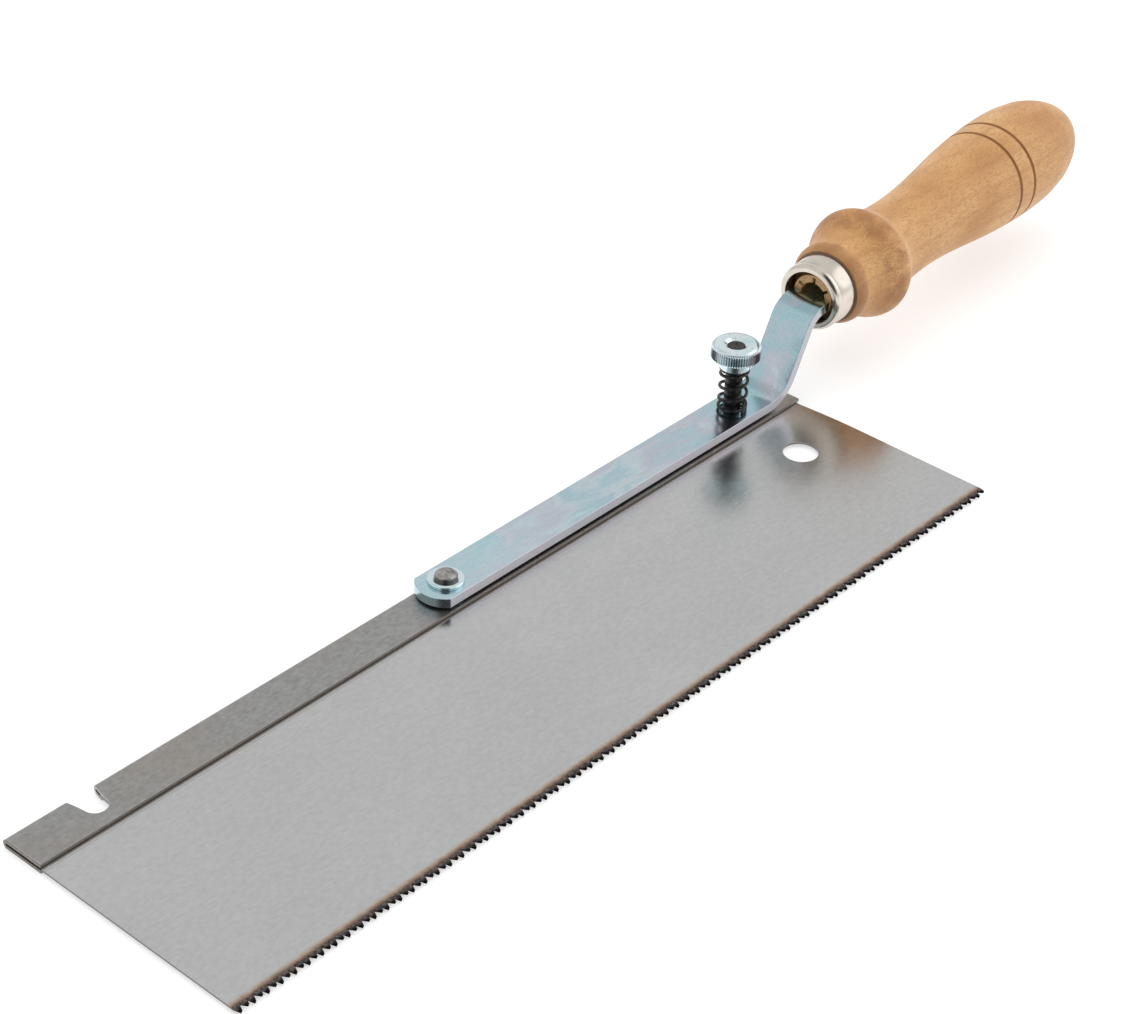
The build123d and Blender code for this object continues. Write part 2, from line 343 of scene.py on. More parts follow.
def beech():
    """Handle: lacquered beech with ray flecks and faint growth lines, browner where it was cut across."""
    finish = Finish("beech", Coat_Roughness=0.3, Specular_IOR_Level=0.3)
    place = finish.turned_place(handle_skew, tuple(handle_front))
    along = finish.axis("X", place)
    side = finish.axis("Y", place)
    up = finish.axis("Z", place)
    radius = finish.node("ShaderNodeMath", {"operation": "SQRT"}, {0: side * side + up * up})
    warp = finish.noise(26, (2.6, 1, 1), 3.0, place) * 15
    rings = (side * 0.55 + up * 0.8 + warp + along * 0.035) * 0.42
    wave = finish.node("ShaderNodeMath", {"operation": "PINGPONG"}, {0: rings, 1: 1.0})
    growth = finish.fade(wave, 0.62, 0.98)
    fleck = finish.noise(0.4, (5, 1, 1), 3.0, place)
    pore = finish.noise(0.24, (8, 1, 1), 2.0, place)
    cloud = finish.noise(10, (2.0, 1, 1), 3.0, place)
    tan = finish.ramp(cloud * 0.65 + fleck * 0.35, (0.34, (0.47, 0.225, 0.08)), (0.5, (0.585, 0.315, 0.122)),
                      (0.66, (0.69, 0.41, 0.18)))
    lined = finish.mix(growth * 0.28, tan, (0.42, 0.195, 0.07))
    flecked = finish.mix(finish.fade(fleck, 0.50, 0.62) * 0.5, lined, (0.36, 0.165, 0.055))
    pored = finish.mix(finish.fade(pore, 0.52, 0.66) * 0.45, flecked, (0.32, 0.135, 0.04))
    patch = finish.noise(4, (1, 1, 1), 4.0, place)
    nose = finish.band(along, 6.0, 8.4 + patch * 3.0, 2.6) * (0.12 + patch * 1.0)
    flank = finish.band(along, 19.5, 24.6, 2.6) * finish.fade(patch * 0.7 + fleck * 0.3, 0.36, 0.62) * 0.75
    neck = finish.mix(finish.band(along, 27.5, 30.0, 2.5) * 0.25, pored, (0.74, 0.49, 0.26))
    end_grain = finish.mix(nose + flank, neck, (0.31, 0.14, 0.052))
    # Painted shade: a dark ring on the wood right behind the ferrule's back edge, where the two meet; it is
    # mixed in on the next line.
    ferrule_shade = finish.band(along, 7.0, 7.65, 0.35) * 0.75
    burnt = finish.mix(ferrule_shade, end_grain, (0.075, 0.048, 0.03))
    burnt_half = 0.45
    cuts = sum(finish.band(along, groove - burnt_half, groove + burnt_half, 0.35)
               for groove in groove_places)
    grooved_wood = finish.mix(cuts * (0.7 + patch * 0.3), burnt, (0.25, 0.095, 0.026))
    inside = (1 - finish.fade(radius, 8.2, 8.5)) * (1 - finish.fade(along, 12.0, 20.0))
    bored = finish.mix(finish.fade(fleck, 0.5, 0.66), (0.66, 0.41, 0.20), (0.42, 0.2, 0.08))
    core = finish.mix(inside, grooved_wood, bored)
    roughness = 0.42 + fleck * 0.14
    relief = fleck * 0.5 + pore * 0.5 + growth * 0.3
    return finish.feed(Base_Color=core, Roughness=roughness, Coat_Weight=0.05 + cloud * 0.1,
                       Normal=finish.bump(relief, 0.025))


def pale_floor():
    finish = Finish("pale_floor", Roughness=0.6, Emission_Color=(1, 1, 1, 1), Emission_Strength=0.5)
    tone = finish.ramp(finish.noise(400, detail=1.0), (0.3, (0.56, 0.56, 0.56)), (0.7, (0.60, 0.60, 0.60)))
    return finish.feed(Base_Color=tone)


# ---- meshes ------------------------------------------------------------------

def as_object(name, mesh, material, crease=35.0):
    """A smooth-shaded object at the origin, sharp only where faces meet at more than crease degrees."""
    mesh.materials.clear()
    mesh.materials.append(material)
    for face in mesh.polygons:
        face.use_smooth = True
        face.material_index = 0
    mesh.set_sharp_from_angle(angle=math.radians(crease))
    piece = bpy.data.objects.new(name, mesh)
    bpy.context.scene.collection.objects.link(piece)
    return piece


def evened(piece):
    """Shades large faces flat and lets only the narrow rounded edges between them turn."""
    even = piece.modifiers.new("even_shading", "WEIGHTED_NORMAL")
    even.keep_sharp = True
    graph = bpy.context.evaluated_depsgraph_get()
    smooth = bpy.data.meshes.new_from_object(piece.evaluated_get(graph), preserve_all_data_layers=True,
                                             depsgraph=graph)
    piece.modifiers.remove(even)
    piece.data = smooth
    return piece


def baked(source, name, material, crease=35.0):
    """The evaluated shape of a source object as a plain mesh of its own; the source is removed."""
    graph = bpy.context.evaluated_depsgraph_get()
    mesh = bpy.data.meshes.new_from_object(source.evaluated_get(graph))
    mesh.transform(source.matrix_world)
    bpy.data.objects.remove(source)
    return as_object(name, mesh, material, crease)


def rounded(corners, steps=5):
    """A closed or open outline with its corners rounded. Corners are (x, y) or (x, y, radius)."""
    outline = []
    count = len(corners)
    for index, corner in enumerate(corners):
        here = Vector(corner[:2])
        if len(corner) < 3:
            outline.append(here)
            continue
        before = Vector(corners[index - 1][:2]) - here
        after = Vector(corners[(index + 1) % count][:2]) - here
        half = before.angle(after) / 2
        reach = corner[2] / math.tan(half)
        centre = here + (before.normalized() + after.normalized()).normalized() * corner[2] / math.sin(half)
        start = here + before.normalized() * reach - centre
        end = here + after.normalized() * reach - centre
        sweep = start.angle_signed(end)
        for step in range(steps + 1):
            turned = start.copy()
            turned.rotate(Matrix.Rotation(-sweep * step / steps, 2))
            outline.append(centre + turned)
    return outline


def turned(name, outline, place, material, segments=96, closed=False, crease=35.0):
    """A piece turned about place's X axis from (along, radius) points in millimetres."""
    mesh = bmesh.new()
    rings = []
    for along, radius in outline:
        count = 1 if radius < 1e-6 else segments
        ring = []
        for step in range(count):
            angle = 2 * math.pi * step / count
            point = Vector((along, radius * math.cos(angle), radius * math.sin(angle))) * MM
            ring.append(mesh.verts.new(place @ point))
        rings.append(ring)
    pairs = list(zip(rings, rings[1:]))
    if closed:
        pairs.append((rings[-1], rings[0]))
    for ring, following in pairs:
        for step in range(max(len(ring), len(following))):
            corners = []
            for vert in (ring[step % len(ring)], ring[(step + 1) % len(ring)],
                         following[(step + 1) % len(following)], following[step % len(following)]):
                if vert not in corners:
                    corners.append(vert)
            if len(corners) > 2:
                mesh.faces.new(corners)
    bmesh.ops.recalc_face_normals(mesh, faces=mesh.faces)
    data = bpy.data.meshes.new(name)
    mesh.to_mesh(data)
    mesh.free()
    return as_object(name, data, material, crease)


def upright(x, y=0.0):
    """A turning axis that points up, at a place on the saw."""
    return Matrix.Translation((x, y, 0)) @ Matrix.Rotation(-math.pi / 2, 4, "Y")


def plate(name, outlines, low, high, edge, material, place=None):
    """A flat plate with holes from outlines in metres, between two heights, with its edges eased."""
    curve = bpy.data.curves.new(name, "CURVE")
    curve.dimensions = "2D"
    curve.fill_mode = "BOTH"
    curve.extrude = (high - low) / 2 - edge
    curve.bevel_depth = edge
    curve.bevel_resolution = 1
    curve.offset = -edge
    for outline in outlines:
        spline = curve.splines.new("POLY")
        spline.points.add(len(outline) - 1)
        for point, (x, y) in zip(spline.points, outline):
            point.co = (x, y, 0, 1)
        spline.use_cyclic_u = True
    source = bpy.data.objects.new(name, curve)
    bpy.context.scene.collection.objects.link(source)
    source.matrix_world = (place or Matrix()) @ Matrix.Translation((0, 0, (low + high) / 2))
    bpy.context.view_layer.update()
    return evened(baked(source, name, material))


def joined(name, parts):
    """Several objects with one material as one object."""
    mesh = bmesh.new()
    for part in parts:
        mesh.from_mesh(part.data)
    data = bpy.data.meshes.new(name)
    mesh.to_mesh(data)
    mesh.free()
    material = parts[0].data.materials[0]
    for part in parts:
        bpy.data.objects.remove(part)
    return as_object(name, data, material)


def eased_copy(node, name, edge, material, segments=2, sharp=30.0):
    """A copy of a CAD piece with its triangles merged into faces and its edges rounded."""
    mesh = bmesh.new()
    mesh.from_mesh(frame["nodes"][node].data)
    bmesh.ops.remove_doubles(mesh, verts=mesh.verts, dist=0.5e-6)
    bmesh.ops.dissolve_limit(mesh, angle_limit=math.radians(1.0), verts=mesh.verts, edges=mesh.edges)
    data = bpy.data.meshes.new(name)
    mesh.to_mesh(data)
    mesh.free()
    source = bpy.data.objects.new(name, data)
    bpy.context.scene.collection.objects.link(source)
    bevel = source.modifiers.new("edges", "BEVEL")
    bevel.width = edge * MM
    bevel.segments = segments
    bevel.limit_method = "ANGLE"
    bevel.angle_limit = math.radians(sharp)
    bevel.use_clamp_overlap = True
    bevel.harden_normals = False
    return evened(baked(source, name, material, sharp))


def keep(piece, body, slot, *nodes):
    """Ties a finished piece to its body and hides the CAD nodes that it stands for; the slot is not used."""
    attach(piece, body)
    if nodes:
        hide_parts(*nodes)
    return piece


# ---- Geometry Nodes ------------------------------------------------------------

class Pattern:
    """A Geometry Nodes tree with named inputs, run on an empty mesh and baked."""

    def __init__(self, name, **inputs):
        self.name = name
        self.values = inputs
        self.tree = bpy.data.node_groups.new(name, "GeometryNodeTree")
        self.sockets = {}
        for label, value in inputs.items():
            kind = "NodeSocketInt" if isinstance(value, int) else "NodeSocketFloat"
            self.sockets[label] = self.tree.interface.new_socket(label, in_out="INPUT", socket_type=kind)
        self.tree.interface.new_socket("Geometry", in_out="OUTPUT", socket_type="NodeSocketGeometry")
        group = self.tree.nodes.new("NodeGroupInput")
        self.inputs = {label: Socket(self.tree, group.outputs[label]) for label in inputs}

    def node(self, kind, settings=None, inputs=None, output=0):
        return add_node(self.tree, kind, settings, inputs, output)

    def bake(self, geometry, material, crease=35.0):
        real = self.node("GeometryNodeRealizeInstances", None, {0: geometry})
        painted = self.node("GeometryNodeSetMaterial", None, {"Geometry": real, "Material": material})
        end = self.tree.nodes.new("NodeGroupOutput")
        self.tree.links.new(painted.output, end.inputs[0])
        source = bpy.data.objects.new(self.name, bpy.data.meshes.new(self.name))
        bpy.context.scene.collection.objects.link(source)
        modifier = source.modifiers.new(self.name, "NODES")
        modifier.node_group = self.tree
        for label, value in self.values.items():
            modifier[self.sockets[label].identifier] = value
        return baked(source, self.name, material, crease)


def ring_of_points(pattern, count):
    """Points on a unit circle about Z, with the angle of each."""
    index = pattern.node("GeometryNodeInputIndex")
    angle = index * (2 * math.pi) / count
    points = pattern.node("GeometryNodeMeshLine", {"mode": "OFFSET"},
                          {"Count": count, "Offset": (0, 0, 0)})
    return points, angle


# ---- blade ---------------------------------------------------------------------

TOOTH_COUNT = 138
TOOTH_PITCH = (blade_high.x - blade_low.x) / TOOTH_COUNT
TOOTH_HEIGHT = 1.7 * MM
TOOTH_SET = 0.27 * MM
END_RELIEF = 1.0 * MM  # set back of the end by the hanging hole, at the folded back
HIDDEN_SHORT = 0.8 * MM  # how much shorter the blade is inside the fold at the other end


def notch_outline(x, back_y):
    """Lock notch as a run of points along the back edge: a round bottom with flared walls."""
    bottom = 2.9 * MM
    neck = 3.25 * MM
    neck_y = 2.3 * MM
    flare = 0.24
    steps = 12
    mouth = neck + (back_y - neck_y) * flare
    points = [(x + mouth, back_y), (x + neck, neck_y)]
    for step in range(steps + 1):
        angle = -math.pi * step / steps
        points.append((x + bottom * math.cos(angle), bottom * math.sin(angle)))
    return points + [(x - neck, neck_y), (x - mouth, back_y)]


def circle_outline(x, y, radius, count=64):
    angles = [2 * math.pi * step / count for step in range(count)]
    return [(x + radius * math.cos(angle), y + radius * math.sin(angle)) for angle in angles]


def end_curve(count=10):
    """How far the end by the hanging hole is set back, from the folded back down to its full length."""
    full_y = -24.0 * MM
    curve_power = 1.55
    points = []
    for step in range(count + 1):
        left = 1 - step / count
        points.append((END_RELIEF * left**curve_power, spine_low.y + (full_y - spine_low.y) * (1 - left)))
    return points


def make_blade(steel):
    back_y = blade_high.y
    gullet_y = blade_low.y + TOOTH_HEIGHT
    hidden_x = blade_low.x + HIDDEN_SHORT
    slant = 0.2 * MM
    outline = [(hidden_x, back_y), (hidden_x, spine_low.y + slant), (blade_low.x, spine_low.y - slant)]
    outline += [(blade_low.x, gullet_y), (blade_high.x, gullet_y)]
    outline += [(blade_high.x - inset, y) for inset, y in reversed(end_curve())]
    outline += [(blade_high.x - END_RELIEF, back_y)]
    for x in (lock_x, -lock_x):
        outline += notch_outline(x, back_y)
    holes = [circle_outline(hole_x, hole_y, hole_radius)]
    return plate("blade_plate", [outline, *holes], blade_low.z, blade_high.z, 0.04 * MM, steel)


def make_teeth(steel):
    """The row of teeth, bent left and right in turn, their flanks filed at an angle."""
    pattern = Pattern("blade_teeth", Count=TOOTH_COUNT, Pitch=TOOTH_PITCH, Height=TOOTH_HEIGHT,
                      Set=TOOTH_SET, Thickness=blade_high.z - blade_low.z)
    size = pattern.inputs
    root = pattern.node("ShaderNodeCombineXYZ", None,
                        {0: size["Pitch"], 1: size["Height"], 2: size["Thickness"]})
    stub = pattern.node("GeometryNodeMeshCube", None,
                        {"Size": root, "Vertices X": 2, "Vertices Y": 2, "Vertices Z": 2})
    place = pattern.node("GeometryNodeInputPosition")
    x = pattern.node("ShaderNodeSeparateXYZ", None, {0: place}, "X")
    y = pattern.node("ShaderNodeSeparateXYZ", None, {0: place}, "Y")
    z = pattern.node("ShaderNodeSeparateXYZ", None, {0: place}, "Z")
    drop = 0.5 - y / size["Height"]
    narrow = 1 - drop * 0.94
    fleam = z * drop * 0.5
    shaped = pattern.node("ShaderNodeCombineXYZ", None,
                          {0: x * narrow + fleam, 1: y, 2: z * (1 - drop * 0.18) + drop * size["Set"]})
    tooth = pattern.node("GeometryNodeSetPosition", None, {"Geometry": stub, "Position": shaped})
    step = pattern.node("ShaderNodeCombineXYZ", None, {0: size["Pitch"]})
    line = pattern.node("GeometryNodeMeshLine", {"mode": "OFFSET"}, {"Count": size["Count"], "Offset": step})
    index = pattern.node("GeometryNodeInputIndex")
    parity = pattern.node("ShaderNodeMath", {"operation": "MODULO"}, {0: index, 1: 2.0})
    flip = pattern.node("ShaderNodeCombineXYZ", None, {1: (1 - parity) * math.pi})
    row = pattern.node("GeometryNodeInstanceOnPoints", None,
                       {"Points": line, "Instance": tooth, "Rotation": flip})
    start = (blade_low.x + TOOTH_PITCH / 2, blade_low.y + TOOTH_HEIGHT / 2, (blade_low.z + blade_high.z) / 2)
    placed = pattern.node("GeometryNodeTransform", None, {"Geometry": row, "Translation": start})
    return pattern.bake(placed, steel, 20.0)


# ---- lock ----------------------------------------------------------------------

START_ANGLE = math.radians(265)  # where the spring's wire starts, about its axis
PIN_RADIUS = 2.25
COLLAR_RADIUS = 4.05


def make_spring(black):
    """A compression spring: closed turns at both ends, open turns between."""
    wire = 0.42 * MM
    pattern = Pattern("coil_spring", Radius=spring_high.x - lock_x - wire, Wire=wire,
                      Height=knob_low.z - arm_top - 2 * wire, Closed_below=1.1, Open=2.8, Closed_above=0.85,
                      Steps=420)
    size = pattern.inputs
    turns = size["Closed_below"] + size["Open"] + size["Closed_above"]
    line = pattern.node("GeometryNodeCurvePrimitiveLine", None, {"End": (0, 0, 1)})
    fine = pattern.node("GeometryNodeResampleCurve", None, {"Curve": line, "Count": size["Steps"]})
    done = pattern.node("GeometryNodeSplineParameter", output="Factor") * turns
    angle = done * (2 * math.pi) + START_ANGLE
    pitch = size["Wire"] * 2.02
    opened = pattern.node("ShaderNodeMath", {"operation": "SMOOTH_MAX"},
                          {0: done - size["Closed_below"], 1: 0.0, 2: 0.5})
    middle = pattern.node("ShaderNodeMath", {"operation": "SMOOTH_MIN"}, {0: opened, 1: size["Open"], 2: 0.4})
    closed = done - middle
    free = size["Height"] - (size["Closed_below"] + size["Closed_above"]) * pitch
    height = closed * pitch + middle * (free / size["Open"])
    spot = pattern.node("ShaderNodeCombineXYZ", None,
                        {0: done.math("COSINE", angle) * size["Radius"] + lock_x,
                         1: done.math("SINE", angle) * size["Radius"],
                         2: height + arm_top + size["Wire"]})
    coil = pattern.node("GeometryNodeSetPosition", None, {"Geometry": fine, "Position": spot})
    section = pattern.node("GeometryNodeCurvePrimitiveCircle", None,
                           {"Resolution": 14, "Radius": size["Wire"]})
    wire_mesh = pattern.node("GeometryNodeCurveToMesh", None,
                             {"Curve": coil, "Profile Curve": section, "Fill Caps": True})
    return pattern.bake(wire_mesh, black, 50.0)


def make_knob(zinc):
    """The button: a collar, a head with a countersunk hole, and a straight knurl round the rim."""
    bottom = knob_low.z / MM
    collar_height = 3.0
    shoulder = bottom + collar_height
    top = knob_high.z / MM
    rim = (knob_high.x - lock_x) / MM
    hole = 2.3
    core = rim - 0.55
    sink_radius = 3.1
    body = turned("knob_body", rounded([
        (bottom, hole), (bottom, COLLAR_RADIUS, 0.2), (shoulder, COLLAR_RADIUS), (shoulder, core),
        (top - 0.7, core), (top - 0.35, rim - 0.8, 0.4), (top, rim - 1.35, 0.5),
        (top, sink_radius, 0.12), (top - 0.62, hole)]), upright(lock_x), zinc, 128, closed=True)
    ridges = make_knurl(zinc, rim, shoulder, top)
    return joined("lock_button", [body, ridges])


def make_knurl(zinc, rim, low, high):
    pattern = Pattern("knurl_ridges", Count=58, Radius=(rim - 0.6) * MM, Height=(high - low - 0.3) * MM,
                      Depth=0.6 * MM, Width=0.66 * MM)
    size = pattern.inputs
    bar = pattern.node("GeometryNodeMeshCylinder", None,
                       {"Vertices": 4, "Side Segments": 12, "Radius": 1.0, "Depth": 1.0})
    place = pattern.node("GeometryNodeInputPosition")
    x = pattern.node("ShaderNodeSeparateXYZ", None, {0: place}, "X")
    y = pattern.node("ShaderNodeSeparateXYZ", None, {0: place}, "Y")
    z = pattern.node("ShaderNodeSeparateXYZ", None, {0: place}, "Z")
    above = z.math("MAXIMUM", z, 0.0) * 2
    ends = 1 - z.math("POWER", above, 4.0) * 1.1
    shaped = pattern.node("ShaderNodeCombineXYZ", None,
                          {0: x * size["Depth"] * ends, 1: y * size["Width"] * 0.5, 2: z * size["Height"]})
    ridge = pattern.node("GeometryNodeSetPosition", None, {"Geometry": bar, "Position": shaped})
    points, angle = ring_of_points(pattern, size["Count"])
    around = pattern.node("ShaderNodeCombineXYZ", None,
                          {0: angle.math("COSINE", angle) * size["Radius"],
                           1: angle.math("SINE", angle) * size["Radius"]})
    spread = pattern.node("GeometryNodeSetPosition", None, {"Geometry": points, "Position": around})
    facing = pattern.node("ShaderNodeCombineXYZ", None, {2: angle})
    ring = pattern.node("GeometryNodeInstanceOnPoints", None,
                        {"Points": spread, "Instance": ridge, "Rotation": facing})
    placed = pattern.node("GeometryNodeTransform", None,
                          {"Geometry": ring, "Translation": (lock_x, 0, (low + high - 0.2) / 2 * MM)})
    return pattern.bake(placed, zinc)


def make_pin(black):
    foot_bottom = pin_low.z / MM
    foot_radius = (pin_high.x - lock_x) / MM
    top = pin_high.z / MM - 0.25
    foot_top = foot_bottom + 0.75
    outline = rounded([(foot_bottom, 0), (foot_bottom, foot_radius, 0.12), (foot_top, foot_radius, 0.12),
                       (foot_top, PIN_RADIUS), (top, PIN_RADIUS, 0.25), (top, 1.2, 0.6), (top - 0.12, 0)])
    return turned("lock_pin_visual", outline, upright(lock_x), black, 64)


# ---- pivot ---------------------------------------------------------------------

RIVET_RADIUS = 2.75
RIVET_HEAD_RADIUS = 4.2
SHEET_THICKNESS = 0.85
WASHER_HOLE = 2.76


def make_rivet(steel):
    top = rivet_high.z / MM
    return turned("pivot_stud", rounded([
        (0, 0), (0, RIVET_HEAD_RADIUS), (SHEET_THICKNESS, RIVET_RADIUS), (top - 0.62, RIVET_RADIUS, 0.5),
        (top - 0.14, 2.05, 0.7), (top, 0.0)], 6),
        upright(0), steel, 72)


def make_washer(zinc):
    low, high = washer_low.z / MM, washer_high.z / MM
    rim = washer_high.x / MM
    return turned("retaining_washer", rounded([
        (low, WASHER_HOLE), (low, rim, 0.12), (high - 0.1, rim, 0.3), (high, 3.55, 0.3),
        (high - 0.12, WASHER_HOLE)]),
        upright(0), zinc, 96, closed=True)


def make_spacer(zinc):
    low, high = spacer_low.z / MM, spacer_high.z / MM
    rim = spacer_high.x / MM
    return turned("gap_spacer", rounded([
        (low, WASHER_HOLE), (low, rim, 0.1), (high, rim, 0.1), (high, WASHER_HOLE)]),
        upright(0), zinc, 72, closed=True)


# ---- handle --------------------------------------------------------------------

groove_places = (85.0, 91.8)
handle_end = 131.1

HANDLE_OUTLINE = (
    (7.55, 9.6), (8.4, 10.35), (9.6, 10.95), (10.8, 11.15), (12.0, 11.05), (13.2, 10.85), (15.2, 11.05),
    (17.5, 12.0), (20.0, 13.4), (22.5, 14.6), (25.0, 15.0), (27.2, 14.3), (28.9, 13.1), (31.0, 12.15),
    (36.0, 11.3), (46.0, 10.95), (56.0, 11.4), (66.0, 12.45), (76.0, 13.65), (86.0, 14.5), (97.0, 14.9),
    (106.0, 14.65), (114.0, 13.5),
)


def smooth_run(points, step):
    """Points along a smooth curve of radius against distance through the given ones."""
    slopes = []
    last = len(points) - 1
    for index in range(len(points)):
        before = points[max(index - 1, 0)]
        after = points[min(index + 1, last)]
        slopes.append((after[1] - before[1]) / (after[0] - before[0]))
    run = []
    for index in range(last):
        (x0, y0), (x1, y1) = points[index], points[index + 1]
        width = x1 - x0
        count = max(2, math.ceil(width / step))
        for part in range(count):
            t = part / count
            value = ((2 * t**3 - 3 * t**2 + 1) * y0 + (t**3 - 2 * t**2 + t) * width * slopes[index]
                     + (3 * t**2 - 2 * t**3) * y1 + (t**3 - t**2) * width * slopes[index + 1])
            run.append((x0 + width * t, value))
    return run


def butt_run(start, end, slope, shoulder, roundness, count=22):
    """The rounded end of the handle: a curve that leaves the belly smoothly and meets the axis square."""
    hold = (start[0] + shoulder, start[1] - slope * shoulder)
    turn = (end, roundness)
    run = []
    for part in range(count + 1):
        t = part / count
        weights = ((1 - t) ** 3, 3 * t * (1 - t) ** 2, 3 * t * t * (1 - t), t**3)
        poles = (start, hold, turn, (end, 0))
        run.append(tuple(sum(w * p[i] for w, p in zip(weights, poles)) for i in (0, 1)))
    run[-1] = (end, 0.0)
    return run


def grooved(run):
    """Sinks the two burnt grooves into the outline."""
    half_width = 0.52
    depth = 0.42
    finer = []
    for (x0, y0), (x1, y1) in zip(run, run[1:]):
        near = any(x0 - 1.5 < groove < x1 + 1.5 for groove in groove_places)
        parts = 12 if near else 1
        for part in range(parts):
            t = part / parts
            finer.append((x0 + (x1 - x0) * t, y0 + (y1 - y0) * t))
    finer.append(run[-1])
    sunk = []
    for x, y in finer:
        for groove in groove_places:
            offset = abs(x - groove) / half_width
            if offset < 1:
                y -= depth * math.cos(offset * math.pi / 2)
        sunk.append((x, y))
    return sunk


def make_wood(wood):
    tenon_front = 1.85
    spigot_radius = 5.7
    spigot_end = 6.4
    bore = 3.6
    slot_end = 4.85
    bore_end = 15.85
    slot_count = 6
    slot_reach = 5.1
    belly = HANDLE_OUTLINE[-1]
    butt = butt_run(belly, handle_end, slope=0.26, shoulder=8.0, roundness=7.5)
    outside = grooved(smooth_run(HANDLE_OUTLINE, 0.8)) + butt
    outline = [(bore_end, 0), (bore_end, bore), (slot_end, bore), (slot_end, spigot_radius),
               (spigot_end, spigot_radius), (spigot_end, 8.6), (HANDLE_OUTLINE[0][0], 8.68)]
    body = turned("handle_body", outline + outside, on_handle, wood, 144)
    disc = circle_outline(0, 0, spigot_radius * MM, 96)
    star = []
    slot_half = 0.45
    spacing = 360 / slot_count
    for slot in range(slot_count):
        middle = math.radians(90 + spacing * slot)
        edge = math.asin(slot_half / bore)
        reach = math.sqrt(slot_reach**2 - slot_half**2)
        radial = Vector((math.cos(middle), math.sin(middle)))
        side = Vector((-math.sin(middle), math.cos(middle)))
        star += [radial * reach - side * slot_half, radial * reach + side * slot_half]
        for part in range(8):
            angle = middle + edge + (math.radians(spacing) - 2 * edge) * part / 7
            star.append(Vector((math.cos(angle), math.sin(angle))) * bore)
    star = [(x * MM, y * MM) for x, y in star]
    facing = on_handle @ Matrix.Rotation(math.pi / 2, 4, "Z") @ Matrix.Rotation(math.pi / 2, 4, "X")
    face = plate("tenon_face", [disc, star], tenon_front * MM, slot_end * MM, 0.1 * MM, wood, facing)
    return joined("turned_handle", [body, face])


def make_ferrule(nickel):
    outline = rounded([
        (0.0, 7.3), (0.0, 8.35, 0.7), (0.75, 9.1, 0.8), (1.75, 9.12), (1.92, 9.0), (2.1, 9.13),
        (7.5, 9.3, 0.2), (7.5, 8.72), (2.2, 8.42), (1.8, 8.42), (1.8, 7.1, 0.25), (0.4, 7.1, 0.38)], 7)
    return turned("ferrule_ring", outline, on_handle, nickel, 144, closed=True)


# ---- stage ---------------------------------------------------------------------

def make_camera():
    """A long lens looking down on the saw from the toothed side at the far end from the handle."""
    azimuth, elevation, roll = math.radians(-49.592), math.radians(34.330), math.radians(2.400)
    lens = bpy.data.cameras.new("camera")
    lens.lens = 87.267
    lens.sensor_width = 36.0
    lens.clip_start = 0.01
    camera = bpy.data.objects.new("camera", lens)
    back = Vector((math.sin(azimuth) * math.cos(elevation), -math.cos(azimuth) * math.cos(elevation),
                   math.sin(elevation)))
    turn = (-back).to_track_quat("-Z", "Y").to_matrix().to_4x4() @ Matrix.Rotation(roll, 4, "Z")
    stand = Vector((-375.2, -355.8, 380.0)) * MM
    camera.matrix_world = Matrix.Translation(stand) @ turn
    bpy.context.scene.collection.objects.link(camera)
    bpy.context.scene.camera = camera


def soft_light(name, place, target, width, height, power):
    lamp = bpy.data.lights.new(name, "AREA")
    lamp.shape = "RECTANGLE"
    lamp.size = width
    lamp.size_y = height
    lamp.energy = power
    light = bpy.data.objects.new(name, lamp)
    light.location = place
    light.rotation_euler = (Vector(target) - Vector(place)).to_track_quat("-Z", "Y").to_euler()
    light.visible_glossy = False
    bpy.context.scene.collection.objects.link(light)


# Directions of the studio's uneven zones, seen from the saw.
UNLIT_HEADING = (-0.761, -0.648, 0)
WINDOW_HEADING = (0.648, -0.548, 0.529)
BOOM_HEADING = (0.02, 0.54, 0.84)
STUDIO_STRENGTH = 0.88


def make_world():
    """Even studio light from all round, with an unlit zone, a bright window and a faint shaded patch."""
    world = bpy.data.worlds.new("studio")
    world.use_nodes = True
    tree = world.node_tree
    sky = tree.nodes["Background"]
    heading = add_node(tree, "ShaderNodeTexCoord", output="Generated")
    across = add_node(tree, "ShaderNodeVectorMath", {"operation": "MULTIPLY"}, {0: heading, 1: (1, 1, 0)})
    level = add_node(tree, "ShaderNodeVectorMath", {"operation": "NORMALIZE"}, {0: across})
    behind = add_node(tree, "ShaderNodeVectorMath", {"operation": "DOT_PRODUCT"},
                      {0: level, 1: UNLIT_HEADING}, "Value")
    height = add_node(tree, "ShaderNodeSeparateXYZ", None, {0: heading}, "Z")
    aside = soft_step(tree, behind, 0.86, 0.93)
    low = soft_step(tree, height, 0.08, 0.16)
    high = soft_step(tree, height, 0.88, 0.97)
    dark = aside * low * (1 - high)
    window = add_node(tree, "ShaderNodeVectorMath", {"operation": "DOT_PRODUCT"},
                      {0: heading, 1: WINDOW_HEADING}, "Value")
    boom = add_node(tree, "ShaderNodeVectorMath", {"operation": "DOT_PRODUCT"},
                    {0: heading, 1: BOOM_HEADING}, "Value")
    bright = soft_step(tree, window, 0.84, 0.96) * 0.75
    shade = soft_step(tree, boom, 0.92, 0.98) * 0.2
    tone = STUDIO_STRENGTH - dark * 0.83 + bright - shade
    tree.links.new(tone.output, sky.inputs["Strength"])
    sky.inputs["Color"].default_value = (0.98, 0.99, 1.0, 1.0)
    bpy.context.scene.world = world


def soft_step(tree, value, start, end):
    return add_node(tree, "ShaderNodeMapRange", {"interpolation_type": "SMOOTHSTEP"},
                    {0: value, 1: start, 2: end})


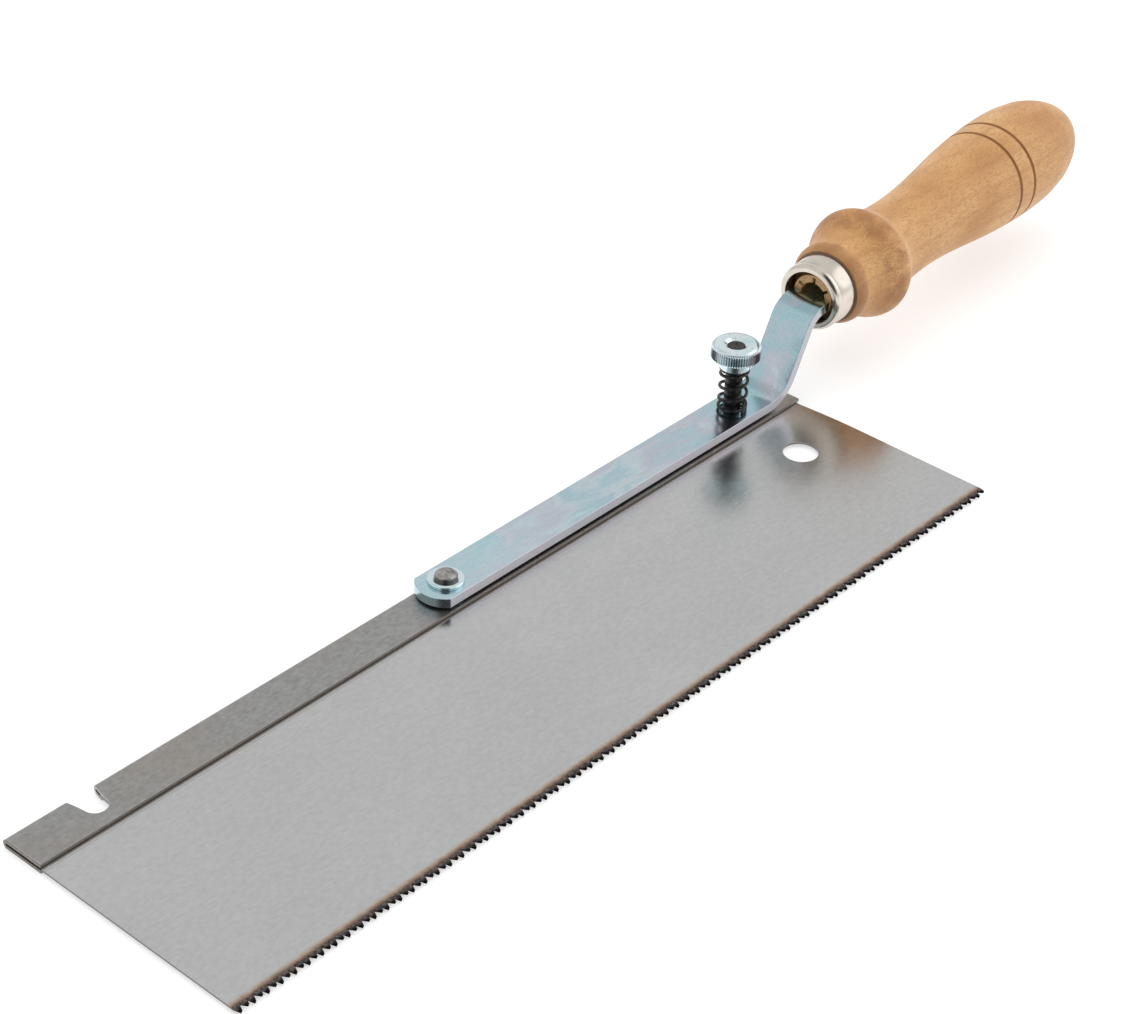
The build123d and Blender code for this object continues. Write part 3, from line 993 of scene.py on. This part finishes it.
def make_stage():
    size = 3.0
    floor_gap = 0.05 * MM
    floor_z = cad_low.z - floor_gap
    corners = [(-size, -size, floor_z), (size, -size, floor_z), (size, size, floor_z), (-size, size, floor_z)]
    mesh = bpy.data.meshes.new("floor")
    mesh.from_pydata(corners, [], [(0, 1, 2, 3)])
    floor = as_object("floor", mesh, pale_floor())
    make_world()
    soft_light("overhead", (0.1, 0.1, 1.6), (0.05, 0, 0), 2.6, 2.6, 18)
    bpy.context.scene.view_settings.view_transform = "Standard"


# ---- making --------------------------------------------------------------------

make_camera()
steel = ground_steel()
zinc = zinc_plate("zinc_plate", (0.33, 0.55, 0.59), (0.41, 0.55, 0.61), (0.52, 0.52, 0.59),
                  (0.54, 0.63, 0.66))
bright_zinc = zinc_plate("bright_zinc", (0.60, 0.76, 0.78), (0.72, 0.82, 0.84), (0.74, 0.79, 0.83),
                         (0.80, 0.86, 0.86))
black = black_oxide()

keep(make_blade(steel), "blade_unit", "blade_steel", "blade")
keep(make_teeth(steel), "blade_unit", "blade_steel")
keep(eased_copy("folded_back", "back_fold", 0.12, rolled_steel()), "blade_unit", "back_steel", "folded_back")
keep(make_rivet(dark_steel()), "blade_unit", "blackened_steel", "pivot_rivet")
keep(make_washer(bright_zinc), "blade_unit", "zinc_plate", "pivot_washer")
keep(make_spacer(zinc), "blade_unit", "zinc_plate", "pivot_spacer")
keep(eased_copy("handle_arm", "cranked_arm", 0.28, zinc, 3), "arm_unit", "zinc_plate", "handle_arm")
keep(make_ferrule(nickel_plate()), "arm_unit", "nickel_plate", "ferrule")
keep(make_wood(beech()), "arm_unit", "beech", "wooden_handle")
keep(make_knob(bright_zinc), "lock_button", "zinc_plate", "lock_knob")
keep(make_pin(black), "lock_button", "blackened_steel", "lock_pin")

spring = keep(make_spring(black), "arm_unit", "blackened_steel", "lock_spring")
travel = -record_joints["lock_press"]["range_m"][0]
spring_height = knob_low.z - arm_top
(spring_height - travel) / spring_height
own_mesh(spring)

make_stage()
